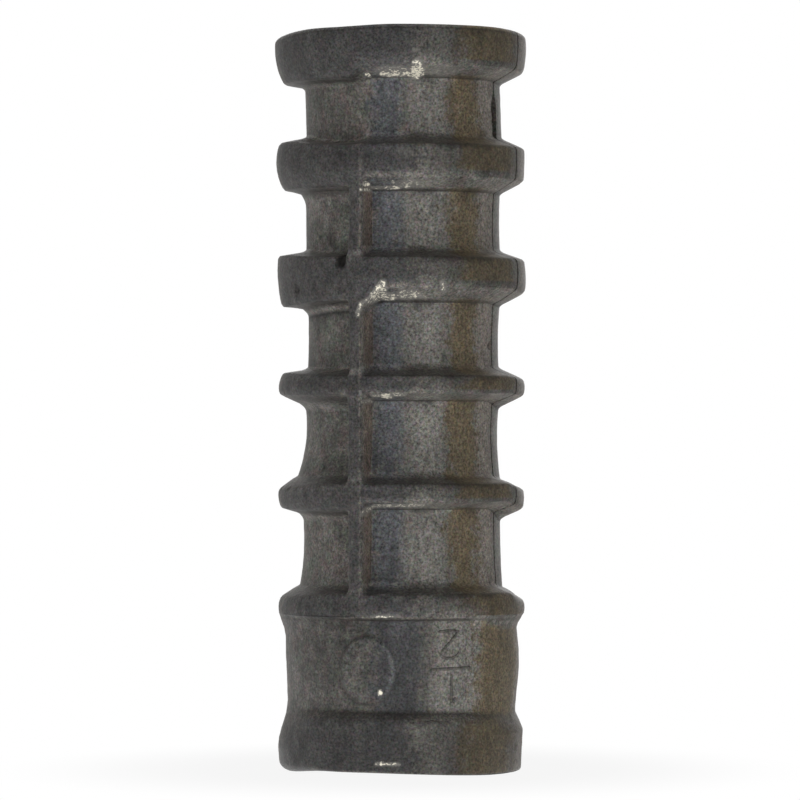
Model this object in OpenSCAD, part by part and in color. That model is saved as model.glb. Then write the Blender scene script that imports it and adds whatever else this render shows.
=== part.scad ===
// Lag shield anchor for a 1/4 in lag screw in a 1/2 in hole.
// One zinc casting: two half shells, split from the inserted end down to the collar that joins them.
// It stands on the collar end. The split plane is XZ, so the slots face +X and -X.

/* [Shield] */
// Overall length
length = 38.1; // [32:0.1:60]
// Diameter of the hole that the shield is made for
hole_d = 12.7; // [12.1:0.1:15.9]
// Diameter of the core between the ribs
core_d = 9.9; // [9.4:0.1:10.6]

/* [Inserted end] */
// Diameter that the end ring has over the nominal hole
ring_over = 0.3; // [0:0.05:0.6]
// Height of the end ring, with its lower flank
ring_h = 2.6; // [2:0.05:3.5]

/* [Ribs] */
// Diameter that the ribs have over the nominal hole
rib_over = 0.1; // [0:0.05:0.4]
// Distance from one rib to the next
rib_pitch = 5.7; // [5:0.1:8]
// Width of the crest on the rib nearest the collar
crest_low = 0.75; // [0.5:0.05:1.2]
// Width that each rib's crest gains over the one below it
crest_gain = 0.22; // [0:0.02:0.4]
// Height of the sloping flank above a crest
upper_flank = 0.75; // [0.4:0.05:0.9]
// Height of the sloping flank below a crest
lower_flank = 0.6; // [0.3:0.05:0.9]
// Height of the straight wall between the core and a flank
wall_h = 0.35; // [0.3:0.05:0.7]
// Fillet where a rib meets the core
root_r = 0.3; // [0.1:0.05:0.6]

/* [Collar] */
// Diameter that the rim at the open end stays under the nominal hole
rim_under = 0.1; // [0:0.05:0.3]
// Depth of the band between the rim and the flange, below the rim
band_depth = 0.3; // [0.1:0.05:0.4]
// Height of the rim
rim_h = 2; // [1:0.1:3]
// Height of the middle of the flange's crest
flange_z = 8.35; // [7:0.05:12]
// Width of the flange's crest
flange_crest = 0.65; // [0.4:0.05:1]
// Height of the slope from the band to the rim and to the flange
band_slope = 0.75; // [0.4:0.05:1.2]
// Chamfer of the outer edges at both ends
edge = 0.2; // [0.05:0.05:0.4]

/* [Fins] */
// Width of a fin at the rib crests
fin_w = 0.75; // [0.4:0.05:1.6]
// Width that a fin gains on each side from crest to core
fin_draft = 0.15; // [0:0.05:0.4]

/* [Slots] */
// Width of the slot between the two half shells
slot_w = 0.25; // [0.15:0.05:0.8]

/* [Bore] */
// Diameter of the lag screw
screw_d = 6.35; // [5.5:0.05:6.6]
// Clearance around the screw in the collar, on the diameter
entry_gap = 0.55; // [0.3:0.05:0.8]
// Clearance around the screw at the thread roots, on the diameter
root_gap = 0.25; // [0.1:0.05:0.3]
// Chamfer at the mouth of the bore
mouth = 0.4; // [0.1:0.05:0.8]
// Diameter over the thread crests at the inserted end
tip_d = 4.8; // [4:0.1:5.2]
// Thread pitch, 10 turns to the inch
thread_pitch = 2.54; // [2:0.01:3.2]
// Width of the flat at the thread root
thread_flat = 0.6; // [0.3:0.05:0.8]
// Slope of each thread flank, in degrees
thread_flank = 30; // [20:1:34]

/* [Hidden] */
$fn = 96;
core_r = core_d / 2;
ring_r = (hole_d + ring_over) / 2;
rib_r = (hole_d + rib_over) / 2;
rim_r = (hole_d - rim_under) / 2;
band_r = rim_r - band_depth;
entry_r = (screw_d + entry_gap) / 2;
thread_r = (screw_d + root_gap) / 2;
tip_r = tip_d / 2;
ring_base = length - ring_h;
rib_count = floor((ring_base - flange_z - upper_flank - lower_flank) / rib_pitch);
// Overshoot of the cuts
spare = 1;

// Middle and width of the crest of rib i. Rib 0 is the collar's flange.
function crest_z(i) = flange_z + i * rib_pitch;
function crest_w(i) = i == 0 ? flange_crest : crest_low + (i - 1) * crest_gain;

// The pocket above rib i runs from that rib's crest to the next crest, or to the end ring's.
function pocket_low(i) = crest_z(i) + crest_w(i) / 2;
function pocket_high(i) =
    i == rib_count ? ring_base + lower_flank : crest_z(i + 1) - crest_w(i + 1) / 2;

// The slots and the thread end where the first pocket's floor starts, and the closed collar begins.
collar_top = pocket_low(0) + upper_flank;

// Radius over the thread crests at height z, tapering from the collar to the tip
function taper_r(z) = entry_r + (tip_r - entry_r) * (z - collar_top) / (length - collar_top);

// Outline of the blank, with its pockets not yet cut
module blank_section() {
    flange_low = flange_z - flange_crest / 2;
    polygon([
        [0, 0],
        [rim_r - edge, 0], [rim_r, edge], [rim_r, rim_h],
        [band_r, rim_h + band_slope], [band_r, flange_low - band_slope],
        [rib_r, flange_low], [rib_r, ring_base],
        [ring_r, ring_base], [ring_r, length - edge], [ring_r - edge, length],
        [0, length]
    ]);
}

// Section of one pocket between two crests: sloping flanks, straight walls, filleted floor
module pocket_section(low, high, top_r) {
    floor_low = low + upper_flank;
    floor_high = high - lower_flank;
    wall_r = core_r + wall_h;
    outside = max(rib_r, top_r) + spare;
    translate([core_r, floor_low + root_r])
        square([outside - core_r, floor_high - floor_low - 2 * root_r]);
    translate([core_r + root_r, floor_low])
        square([outside - core_r - root_r, floor_high - floor_low]);
    for (z = [floor_low + root_r, floor_high - root_r])
        translate([core_r + root_r, z]) circle(r = root_r);
    polygon([
        [wall_r, floor_low], [rib_r, low], [outside, low],
        [outside, high], [top_r, high], [wall_r, floor_high]
    ]);
}

// One fin in the middle of each half shell, left standing in the pockets from rib to flange
module fins() {
    top = crest_z(rib_count);
    for (side = [0, 180])
        rotate([0, 0, side])
            translate([0, 0, flange_z])
                linear_extrude(top - flange_z)
                    polygon([
                        [-fin_w / 2 - fin_draft, -core_r + root_r],
                        [fin_w / 2 + fin_draft, -core_r + root_r],
                        [fin_w / 2, -rib_r], [fin_w / 2, -rib_r - 2 * spare],
                        [-fin_w / 2, -rib_r - 2 * spare], [-fin_w / 2, -rib_r]
                    ]);
}

// All pockets around the core, without the fins that cross them
module pockets() {
    difference() {
        for (i = [0 : rib_count])
            rotate_extrude()
                pocket_section(pocket_low(i), pocket_high(i), i == rib_count ? ring_r : rib_r);
        fins();
    }
}

// Half a turn of thread groove: half a ring, tilted so that its ends lie half a pitch apart
module half_turn() {
    inner = tip_r - spare / 2;
    open_w = thread_flat + 2 * (thread_r - inner) * tan(thread_flank);
    rotate([0, atan(thread_pitch / 4 / thread_r), 0])
        rotate_extrude(angle = 180)
            polygon([
                [inner, -open_w / 2], [thread_r, -thread_flat / 2],
                [thread_r, thread_flat / 2], [inner, open_w / 2]
            ]);
}

// The right-hand thread, half a turn in each half shell, from the collar to the inserted end
module thread() {
    turns = ceil((length - collar_top) / thread_pitch);
    for (i = [0 : turns], side = [0, 1])
        translate([0, 0, collar_top + (i + side / 2) * thread_pitch])
            rotate([0, 0, 180 * (1 - side)])
                translate([0, slot_w / 4, 0])
                    half_turn();
}

// Plain bore in the collar, then a taper that wedges the half shells apart
module bore() {
    translate([0, 0, -spare]) cylinder(r = entry_r, h = collar_top + spare);
    translate([0, 0, -spare])
        cylinder(r1 = entry_r + mouth + spare, r2 = entry_r, h = mouth + spare);
    translate([0, 0, collar_top])
        cylinder(r1 = entry_r, r2 = taper_r(length + spare), h = length + spare - collar_top);
}

// The cut that splits the shell on both sides, down to the collar
module slot() {
    half_w = max(ring_r, rib_r) + spare;
    translate([-half_w, -slot_w / 2, collar_top])
        cube([2 * half_w, slot_w, length]);
}

module shield_body() {
    color("dimgray")
        difference() {
            rotate_extrude() blank_section();
            pockets();
            bore();
            thread();
            slot();
        }
}

shield_body();
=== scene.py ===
# %% [markdown]
# # A cast lag shield
# A lag shield is a ribbed sleeve of cast zinc. It is pushed into a hole in masonry, and a lag
# screw that is driven into it spreads its two half shells until the ribs grip the wall.
# The whole part is one casting, so here it is one mesh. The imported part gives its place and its
# size, and this file adds what a die, a hole and some years in a box leave on such a casting:
# uneven flanks, worn edges, pits and a stained grey skin.

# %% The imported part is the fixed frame
import math
from collections import namedtuple

import bmesh
import bpy
import numpy as np
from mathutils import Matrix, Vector, noise


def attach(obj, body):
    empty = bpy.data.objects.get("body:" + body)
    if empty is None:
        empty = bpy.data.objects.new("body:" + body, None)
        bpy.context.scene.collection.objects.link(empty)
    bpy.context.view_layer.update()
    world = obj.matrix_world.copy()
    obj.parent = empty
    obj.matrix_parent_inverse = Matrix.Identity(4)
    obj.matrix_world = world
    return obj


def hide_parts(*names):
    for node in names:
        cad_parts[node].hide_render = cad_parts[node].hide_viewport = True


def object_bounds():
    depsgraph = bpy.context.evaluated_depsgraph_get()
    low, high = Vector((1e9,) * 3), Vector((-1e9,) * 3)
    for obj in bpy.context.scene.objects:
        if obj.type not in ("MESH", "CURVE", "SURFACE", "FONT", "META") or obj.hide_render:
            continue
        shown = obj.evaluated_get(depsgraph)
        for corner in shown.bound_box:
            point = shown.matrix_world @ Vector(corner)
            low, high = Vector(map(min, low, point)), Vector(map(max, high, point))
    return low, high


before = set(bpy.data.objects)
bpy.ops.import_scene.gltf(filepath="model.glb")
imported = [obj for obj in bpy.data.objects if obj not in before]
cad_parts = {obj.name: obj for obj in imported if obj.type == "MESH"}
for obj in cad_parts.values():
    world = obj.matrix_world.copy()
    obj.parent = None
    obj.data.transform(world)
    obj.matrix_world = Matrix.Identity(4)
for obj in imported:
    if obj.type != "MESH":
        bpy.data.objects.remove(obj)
cad_low, cad_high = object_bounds()
MM = 0.001
LENGTH = (cad_high.z - cad_low.z) / MM
RING_R = (cad_high.x - cad_low.x) / 2 / MM
print(f"the casting is {LENGTH:.1f} mm long and {2 * RING_R:.1f} mm across its end ring")

# %% [markdown]
# ## Angles round the axis
# Everything on the shield goes round one axis, so a place on it is an angle, a height and a
# radius. The angle is 0 at the front (-Y) and 90 at +X. The two slots lie at 90 and -90, and a
# fin stands in the middle of each half shell. The camera looks from 22 degrees, so what the
# picture shows is easiest to write as an angle from the camera's own direction.

# %% Helpers for angles and soft steps
VIEW_TURN = 22.0


def apart(angle, centre):
    """Degrees from centre to angle, from -180 to 180."""
    return (angle - centre + 180) % 360 - 180


def soft(low, high, x):
    """0 at low, 1 at high, and a smooth step between. low may be the larger."""
    t = np.clip((x - low) / (high - low), 0, 1)
    return t * t * (3 - 2 * t)


def bump(x, centre, width):
    """1 at centre, fading out on both sides, with almost nothing left at twice the width."""
    return np.exp(-(((x - centre) / width) ** 2))


def around(angle, centre, flat, fade):
    """1 within flat degrees of centre, falling to 0 over the next fade degrees."""
    return 1 - soft(flat, flat + fade, np.abs(apart(angle, centre)))


def mix(a, b, share):
    return a + (b - a) * share


print(f"halfway up a soft step is {soft(0, 1, 0.5):.1f}, and one width off a bump {bump(1, 0, 1):.2f}")

# %% [markdown]
# ## Columns and rows instead of booleans
# The outside could be cut by booleans, as in the part's source, but their edges are razor sharp
# and every rib comes out the same. A grid of columns round the axis and rows along it gives a
# mesh whose every row can drift a little, so a flank can be steep beside the fin and sloping
# beside the slot. The columns stand closer together where there is more to see.

# %% Columns of one half shell
SLOT_HALF = 0.06
MEAN_R = 5.7
HALF_SPAN = math.degrees(math.acos(SLOT_HALF / MEAN_R))


def spaced(low, high, step_at):
    """Values from low to high whose spacing follows step_at."""
    values = [low]
    while values[-1] < high:
        values.append(values[-1] + step_at(values[-1]))
    values = np.array(values)
    return low + (values - low) * (high - low) / (values[-1] - low)


def shell_columns(plain, fine, smeared):
    """Angles from slot to slot, as shares of the half span."""

    def next_step(a):
        at_wall = around(abs(a), 4, 2, 3)
        at_smear = around(a, 14, 20, 4)
        by_face = around(abs(a), 90, 1.5, 3)
        return mix(mix(plain, smeared, at_smear), fine, np.maximum(at_wall, by_face))

    return spaced(-HALF_SPAN, HALF_SPAN, next_step) / HALF_SPAN


front_columns = shell_columns(1.4, 0.4, 0.6)
back_columns = shell_columns(3.8, 0.9, 3.8)
column_share = np.concatenate([front_columns, back_columns])
column_centre = np.array([0.0] * len(front_columns) + [180.0] * len(back_columns))
column_angle = column_centre + column_share * HALF_SPAN
seen = apart(column_angle, VIEW_TURN)
print(f"{len(column_angle)} columns round the outside")

# %% [markdown]
# ## The ribs
# Each rib has four heights: where its lower flank runs into the fillet, the two edges of its
# crest, and where its upper flank runs into the next fillet. On the real casting they differ
# round the shield. They are given at three places, and each column blends the three: beside the
# right slot, where the flanks slope, beside the fin, and left of the fin, where the ribs are
# nearly square. The crest isn't a true cylinder either: its radius is given at its lower edge,
# middle and upper edge, once on the right and once on the left.

# %% Heights and radii of the ribs, in millimetres
Rib = namedtuple("Rib", "slot fin left right_r left_r rise", defaults=[0.0])
RIBS = {
    "flange": Rib(
        (7.40, 8.15, 8.77, 9.26), (7.95, 8.17, 9.25, 9.56), (6.86, 8.10, 8.93, 9.43),
        (6.37, 6.40, 6.34), (6.31, 6.34, 6.25),
    ),
    "rib_1": Rib(
        (13.09, 13.48, 14.50, 14.87), (13.64, 13.94, 14.84, 15.12), (13.27, 13.51, 14.50, 15.07),
        (6.34, 6.38, 6.35), (6.22, 6.35, 6.34),
    ),
    "rib_2": Rib(
        (18.84, 19.33, 20.16, 20.62), (19.15, 19.46, 20.33, 20.60), (18.91, 19.38, 20.50, 20.64),
        (6.38, 6.41, 6.38), (6.30, 6.31, 6.10),
    ),
    "rib_3": Rib(
        (24.12, 24.64, 26.33, 26.66), (24.15, 24.85, 26.35, 26.60), (23.81, 23.92, 26.53, 26.70),
        (6.43, 6.46, 6.40), (6.19, 6.37, 6.38), 0.24,
    ),
    "rib_4": Rib(
        (29.88, 30.38, 32.06, 32.46), (29.80, 30.45, 32.06, 32.38), (29.74, 29.94, 32.36, 32.56),
        (6.37, 6.39, 6.41), (6.09, 6.46, 6.30),
    ),
    "ring": Rib(
        (35.54, 36.00, 37.8, 37.8), (35.56, 36.10, 37.8, 37.8), (35.29, 35.43, 37.8, 37.8),
        (6.35, 6.46, 6.47), (6.06, 6.44, 6.53),
    ),
}
by_slot = around(seen, 90, 8, 24)
by_left = around(seen, -85, 58, 10)
far_left = around(seen, -95, 15, 50)


def heights(rib, corner):
    """Height of one corner of a rib, for every column. The upper two change slowly to the left."""
    at_fin = mix(rib.fin[corner], rib.slot[corner], by_slot)
    if corner > 1:
        return mix(at_fin, rib.left[corner], far_left)
    return mix(at_fin, rib.left[corner] + rib.rise * (1 - far_left), by_left)


def through(three, share):
    """A parabola through three values at shares 0, a half and 1."""
    low, middle, high = three
    from_low = low * (1 - share) * (1 - 2 * share)
    return from_low + 4 * middle * share * (1 - share) + high * share * (2 * share - 1)


def crest_radius(rib, share):
    return mix(through(rib.right_r, share), through(rib.left_r, share), by_left)


print(f"{len(RIBS)} ribs, from {list(RIBS)[0]} to {list(RIBS)[-1]}")

# %% [markdown]
# ## Radii of the floors and the collar
# The cores between the ribs are a little waisted, because the metal shrank as it cooled, and
# they sit off the ribs' own centre: the two die halves didn't quite meet. Both show in the
# outline. So the floors and the collar are each given by a left and a right profile, and the
# columns between the two pass from one to the other along a sine, which keeps them round.

# %% Left and right profiles
FLOORS = {
    "flange": ((5.22, 5.03, 5.03), (5.24, 5.15, 5.12)),
    "rib_1": ((5.30, 4.92, 4.90), (5.10, 4.98, 5.03)),
    "rib_2": ((4.80, 4.78, 4.79), (5.05, 5.02, 5.10)),
    "rib_3": ((4.90, 4.90, 4.91), (5.12, 5.08, 5.12)),
    "rib_4": ((4.88, 4.92, 4.96), (5.19, 5.15, 5.11)),
}
COLLAR_LEFT = (
    (0.0, 6.28), (1.2, 6.37), (1.7, 6.31), (2.36, 6.12), (2.98, 5.93), (3.6, 5.86), (4.7, 5.895),
    (6.0, 5.965), (6.9, 5.97), (7.3, 6.04), (8.1, 6.31), (8.5, 6.33),
)
COLLAR_FRONT = (
    (0.0, 6.28), (1.4, 6.34), (2.6, 6.33), (2.85, 6.27), (3.2, 5.96), (3.35, 5.92), (5.2, 6.03),
    (7.7, 6.0), (7.93, 6.03), (8.1, 6.36), (8.5, 6.38),
)
COLLAR_RIGHT = (
    (0.0, 6.21), (1.6, 6.28), (2.1, 6.30), (2.5, 6.14), (3.0, 5.90), (3.3, 5.91), (4.2, 5.99),
    (5.2, 6.09), (6.2, 6.10), (7.35, 5.99), (7.6, 6.06), (8.1, 6.36), (8.5, 6.39),
)
to_right = np.sin(np.radians(seen))
collar_front = around(seen, -2, 38, 32)


def side_to_side(left, right):
    return (left + right) / 2 + to_right * (right - left) / 2


def floor_radius(name, share):
    """Core radius above a rib, where share runs from 0 at that rib to 1 at the next."""
    left, right = FLOORS[name]
    return side_to_side(through(left, share), through(right, share))


def collar_radius(z):
    """Radius of the collar at a height, which passes from side to side through the front."""
    profiles = COLLAR_LEFT, COLLAR_FRONT, COLLAR_RIGHT
    left, front, right = (np.interp(z, *zip(*profile)) for profile in profiles)
    return mix(side_to_side(left, right), front, collar_front)


print(f"the collar is {2 * collar_radius(5.0).mean():.1f} mm across at the middle of its band")

# %% [markdown]
# ## The fin and its windows
# Between two ribs the fin and the ribs frame a window with rounded corners. Two plain walls
# would meet in a sharp corner. Here each wall gives a distance from its own crest, below 0 on
# the crest, 0 at its edge and 1 at the floor, and the two are joined by a hypotenuse, which
# rounds the corner by itself, as the cutter that made the die did. The corner under the third
# rib was struck, and the metal smeared into the window.

# %% Height of a wall above its floor
FIN_HALF = 0.37
FIN_WALL = 0.22
FIN_BREAK = 0.55
WALL_FOOT = 0.24
EDGE_SOFT = 0.012
NO_FIN = "rib_4"
SMEAR_TOP, SMEAR_FOOT, SMEAR_W, SMEAR_OVER = 25.1, 23.6, 1.2, 0.4
on_front = column_centre == 0
from_fin = np.radians(apart(column_angle, column_centre)) * RING_R


def wall_height(t, break_at):
    """Share of the full height at t, with a softened edge at t = 0 and a fillet up to t = 1."""
    eased = np.clip(0.5 * (t + np.sqrt(t * t + EDGE_SOFT)), 0, 1)
    flank = 1 - (1 - WALL_FOOT) * eased / break_at
    fillet = WALL_FOOT * np.clip((1 - eased) / (1 - break_at), 0, 1) ** 2
    return np.where(eased < break_at, flank, fillet)


def fin_beside(pocket, z):
    """Distance from the fin's edge as a share of its wall, in the pocket above a rib. The fin
    stands in every pocket but the one under the end ring."""
    if pocket == NO_FIN:
        return np.ones(len(column_angle))
    smear = SMEAR_W * np.clip((z - SMEAR_FOOT) / (SMEAR_TOP - SMEAR_FOOT), 0, 1)
    smear = np.where(on_front & (from_fin > 0) & (z < SMEAR_TOP + SMEAR_OVER), smear, 0)
    return np.minimum((np.abs(from_fin) - FIN_HALF - smear) / FIN_WALL, 1)


print(f"a fin is {2 * FIN_HALF:.2f} mm wide, and each of its walls {FIN_WALL:.2f} mm more")

# %% [markdown]
# ## Fillets and short flanks
# Where a flank meets a floor, the cutter left a fillet. A wide one makes a soft shadow and a
# narrow one a hard line, so their widths differ round the shield as they do on the real one.
# Some upper flanks are also shorter just left of the fin.

# %% Widths of the fillets
UNDER_SLOT, UNDER_FIN, UNDER_LEFT = 0.28, 0.14, 0.45
UNDER_LEFT_OF = {"ring": 0.26, "rib_4": 0.75}
OVER_RIGHT, OVER_MIDDLE, OVER_LEFT = 0.25, 0.42, 0.2
SHORT_FLANKS = {"rib_4": 0.35, "rib_3": 0.7}
fillet_over = mix(mix(OVER_MIDDLE, OVER_RIGHT, soft(16, 30, seen)), OVER_LEFT, by_left)
left_of_fin = around(seen, -42, 14, 14)


def fillet_under(name):
    """Width of the fillet under a rib, for every column."""
    return mix(mix(UNDER_FIN, UNDER_SLOT, by_slot), UNDER_LEFT_OF.get(name, UNDER_LEFT), by_left)


print(f"fillets over the ribs are {fillet_over.min():.2f} to {fillet_over.max():.2f} mm wide")

# %% [markdown]
# ## Where dirt, painted light and painted shade lie
# Dirt never lies evenly on an old casting, and the grime numbers below hold it together with
# painted shade and painted light. Floors keep what falls on them, and corners are hard to reach.
# Crests are painted darker towards their upper edge, the flanks are painted lighter, and the
# tops of floors under the ribs carry painted shade. A painted picture could hold that, but
# numbers on the mesh are simpler and follow its shape: 1 is a dark skin, 0 the plain one, and
# below 0 it is painted lighter. Crests, the undersides of ribs, the fin and the rim have one
# amount each, and a few spots that fade out at their borders break it up.

# %% Painted shade on crests and painted light on flanks
# Crests carry painted shade, darker towards their upper edge. Below 0 is painted light: a little under
# the ribs, and much more on the upper flanks.
CREST_SHADE, UNDER_LIGHT = 0.8, -0.1
FLANK_LIGHT = {"rib_4": -3.0, "rib_3": -2.4, "rib_2": -2.6, "rib_1": -0.8, "flange": -0.9}
right_side = around(seen, 66, 22, 14)
middle_right = around(seen, 33, 12, 10)
bright_tops = 0.6 * around(seen, -38, 36, 8)
front_flank = mix(0.8 * around(seen, -12, 9, 12), 0.9, by_left)
Spot = namedtuple("Spot", "turn flat fade grime")
TOP_SPOTS = (Spot(10, 4, 5, 0.6), Spot(44, 8, 8, -0.7))


def spots(places):
    """The sum of a few spots, for every column."""
    return sum(spot.grime * around(seen, spot.turn, spot.flat, spot.fade) for spot in places)


print(f"grime is {CREST_SHADE} on crests and {UNDER_LIGHT} under ribs")

# %% Painted light and shade on the floors, dust in their corners, and grime on the fin
# Painted light at the top of the floors in front, a little left of the middle.
FLOOR_TOP_LIGHT = -0.45
CORNER_DUST_AND_SHADE = {"flange": 2.1, "rib_1": 1.4}
DUST_AND_SHADE_ELSEWHERE, DUST_DEPTH = 0.1, 0.6
SHADE_SPOTS = (
    Spot(2, 20, 5, 0.35), Spot(13, 4, 5, 0.75), Spot(43, 5, 6, 0.8), Spot(29, 5, 4, -0.65),
)
LEFT_SHADE = {"rib_3": 1.7, "rib_2": 0.6, "rib_4": -0.3}
FIN_GRIME = 0.6
floor_light_side = around(seen, -8, 9, 8)


def floor_dust_and_shade(pocket, z):
    """Dust and painted shade on a floor: most just above a rib, in the corner beside the fin."""
    deep = np.exp(-np.clip(z - heights(RIBS[pocket], 3), 0, None) / DUST_DEPTH)
    in_corner = around(seen, -9.5, 4.5, 5) * CORNER_DUST_AND_SHADE.get(pocket, DUST_AND_SHADE_ELSEWHERE)
    return (in_corner + 0.15 * soft(14, 4, seen)) * deep


def shade_under(name):
    """Painted shade at the very top of a floor, under the rib of that name, with painted light in a few
    places.
    """
    return spots(SHADE_SPOTS) + LEFT_SHADE.get(name, 0) * by_left


print(f"grime is {FIN_GRIME} on the fin, and dust lies {DUST_DEPTH} mm deep")

# %% [markdown]
# ## Rows from the collar to the end ring
# Rows are laid down from the bottom up, and each one keeps a height and a radius for every
# column. Rows crowd together at the edges of crests and at the roots, where light shows the
# shape, and spread out on the flat stretches. A row also notes what the finish will ask for
# later: how high it stands, which side of a rib it is on, where it is worn, where it is dirty,
# and where light and shade are painted on it.

# %% What a row keeps
Row = namedtuple("Row", "z r relief side edge foot grime wall")
rows = []


def add_row(z, r, relief=0.5, side=0.0, edge=0.0, foot=0.0, grime=0.0, wall=0.0):
    """One ring of points. relief is 0 on a floor and 1 on a crest, side is -1 under a rib and 1
    above it, edge is 1 on a worn edge that also carries a painted highlight, foot is 1 where a
    wall meets the floor and carries dirt and painted shade, the grime number is 1 where dirt and
    painted shade darken the skin and below 0 where painted light brightens it, and wall is 1 on
    the fin's own wall."""
    shape = np.ones(len(column_angle))
    rows.append(Row(*(value * shape for value in (z, r, relief, side, edge, foot, grime, wall))))


def shares(count, crowd=0.0):
    """Shares from just past 0 to 1, crowded towards both ends by crowd."""
    s = np.arange(1, count + 1) / count
    return mix(s, (1 - np.cos(np.pi * s)) / 2, crowd)


print(f"a row keeps {len(Row._fields)} numbers for each of {len(column_angle)} columns")

# %% [markdown]
# ## The collar
# The closed collar is a rim, a band and the lower edge of the flange. The rim was bruised on the
# left, and its end face is a quarter of a millimetre short there. The step above the rim and the
# corner under the flange are darkened with dirt and painted shade, so rows stand closer at both.

# %% Grime on the collar
RIM_LOW, RIM_HIGH = 1.0, 0.8
BAND_SPOTS = (Spot(66, 14, 8, 0.3), Spot(1, 6, 8, 0.15), Spot(-20, 5, 6, -0.3))
LOW_SPOTS = (Spot(1, 4, 6, 0.3),)
FLANGE_SPOTS = (Spot(-22, 14, 6, 0.35), Spot(4, 5, 4, -0.35), Spot(48, 8, 8, -0.5))
left_band = mix(0.25, 0.65, soft(-70, -40, seen)) * soft(24, 8, seen)


def rim_grime(z):
    """Grime on the rim, darker low down than at its upper edge."""
    return mix(RIM_LOW, RIM_HIGH, soft(1.9, 2.7, z))


def collar_grime(z):
    """Grime at a height on the collar, which passes from the rim's to the band's."""
    low_down = spots(LOW_SPOTS) * soft(6, 5, z)
    band = left_band + spots(BAND_SPOTS) + low_down + spots(FLANGE_SPOTS) * soft(7.2, 7.8, z)
    return mix(band, rim_grime(z), soft(3.1, 2.8, z))


print(f"grime is {RIM_LOW} low on the rim and {RIM_HIGH} at its edge")

# %% Rows over the rim and the band
BRUISE = 0.25
DENSE_FROM, DENSE_TO, DENSE_TOP = 0.33, 0.44, 0.92
RELIEF_FLOOR, RELIEF_STEP = 5.9, 0.4
flange = RIBS["flange"]
rim_round = mix(0.16, 0.5, around(seen, -85, 30, 25))
corner_z = mix(7.88, 7.97, collar_front)
corner_dirt_and_shade = mix(0.45, 1, around(seen, 4, 26, 14))
step_z = 3.16 - 0.16 * soft(30, 48, seen)
step_dirt_and_shade = mix(0.35, 0.75, around(seen, 5, 26, 30))


def end_lift(angle):
    """How far the end face is short of flat at an angle."""
    turned = apart(angle, VIEW_TURN)
    return BRUISE * soft(60, -20, turned) * soft(-80, -35, turned)


def band_spacing(s):
    """Distance to the next row, as a share of the collar's height."""
    return 0.006 if s > DENSE_TOP or DENSE_FROM < s < DENSE_TO else 0.014


lift = end_lift(column_angle)
for a in np.radians(np.linspace(0, 90, 7)):
    z = rim_round * (1 - np.cos(a))
    # The rim's worn lower edge carries a painted highlight.
    worn_edge_and_highlight = math.sin(2 * a) if a > 0.5 else 0.0
    r = collar_radius(z) - rim_round * (1 - np.sin(a))
    add_row(z + lift * (1 - z), r, 1, -0.5 * np.cos(a), 0.5 * worn_edge_and_highlight, grime=rim_grime(z))
for s in spaced(0, 1, band_spacing)[1:]:
    z = mix(rim_round, heights(flange, 1), s)
    side = np.clip(12 * (collar_radius(z - 0.05) - collar_radius(z + 0.05)), -1, 1)
    # The corner under the flange and the step above the rim are darkened with dirt and painted shade.
    in_corner = corner_dirt_and_shade * bump(z, corner_z, 0.07) + step_dirt_and_shade * bump(z, step_z, 0.14)
    relief = np.clip((collar_radius(z) - RELIEF_FLOOR) / RELIEF_STEP, 0.3, 1)
    # A painted highlight along the flange's lower edge.
    near_edge = bump(z, corner_z + 0.17, 0.1)
    lifted = z + lift * (1 - s) ** 2
    add_row(lifted, collar_radius(z), relief, side, near_edge, in_corner, collar_grime(z))
print(f"{len(rows)} rows on the collar")

# %% [markdown]
# ## One row across the windows
# A row at some height crosses the fin once and the open floor on both sides of it. Its radius
# comes from how far it is from the nearest rib and from the fin, joined as above. The same two
# distances say where an edge is worn and carries a painted highlight, where a wall stands, and
# where dirt and painted shade lie at its foot, with a painted shadow beside the fin.

# %% A row between two crests
def worn_edges_and_highlights(z, fin, joined, by_rib, side):
    """Wear with a painted highlight on the fin's right edge, and on the lower edges of the middle ribs.
    """
    fin_edge = bump(fin * FIN_WALL, -0.04, 0.08) * (from_fin > 0)
    rib_edge = bump(joined, 0, 0.13) * (side < 0) * soft(13, 15, z) * soft(33, 31, z)
    return mix(fin_edge, rib_edge, by_rib)


def dirt_and_shade_at_foot(t, fin, joined, by_rib, side):
    """Dirt and painted shade along the foot of each wall and on the left next to the crests, with a
    painted shadow beside the fin's left foot.
    """
    in_front = 0.78 * soft(0.72, 0.92, joined) * soft(1.0, 0.97, joined)
    in_front = in_front * np.where(side > 0, mix(1, 0.1, by_rib), 1) * mix(0.45, 1, by_rib)
    at_left = mix(0.85, 0.12, side > 0) * bump(t, 0.25, 0.2) * (t > -0.1)
    fin_shadow_line = bump(from_fin, 0.05 - FIN_HALF, 0.08) * (fin < 1) * (by_rib < 0.5)
    return np.maximum(mix(in_front, at_left * np.clip(fin, 0, 1), by_left), 0.3 * fin_shadow_line)


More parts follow.
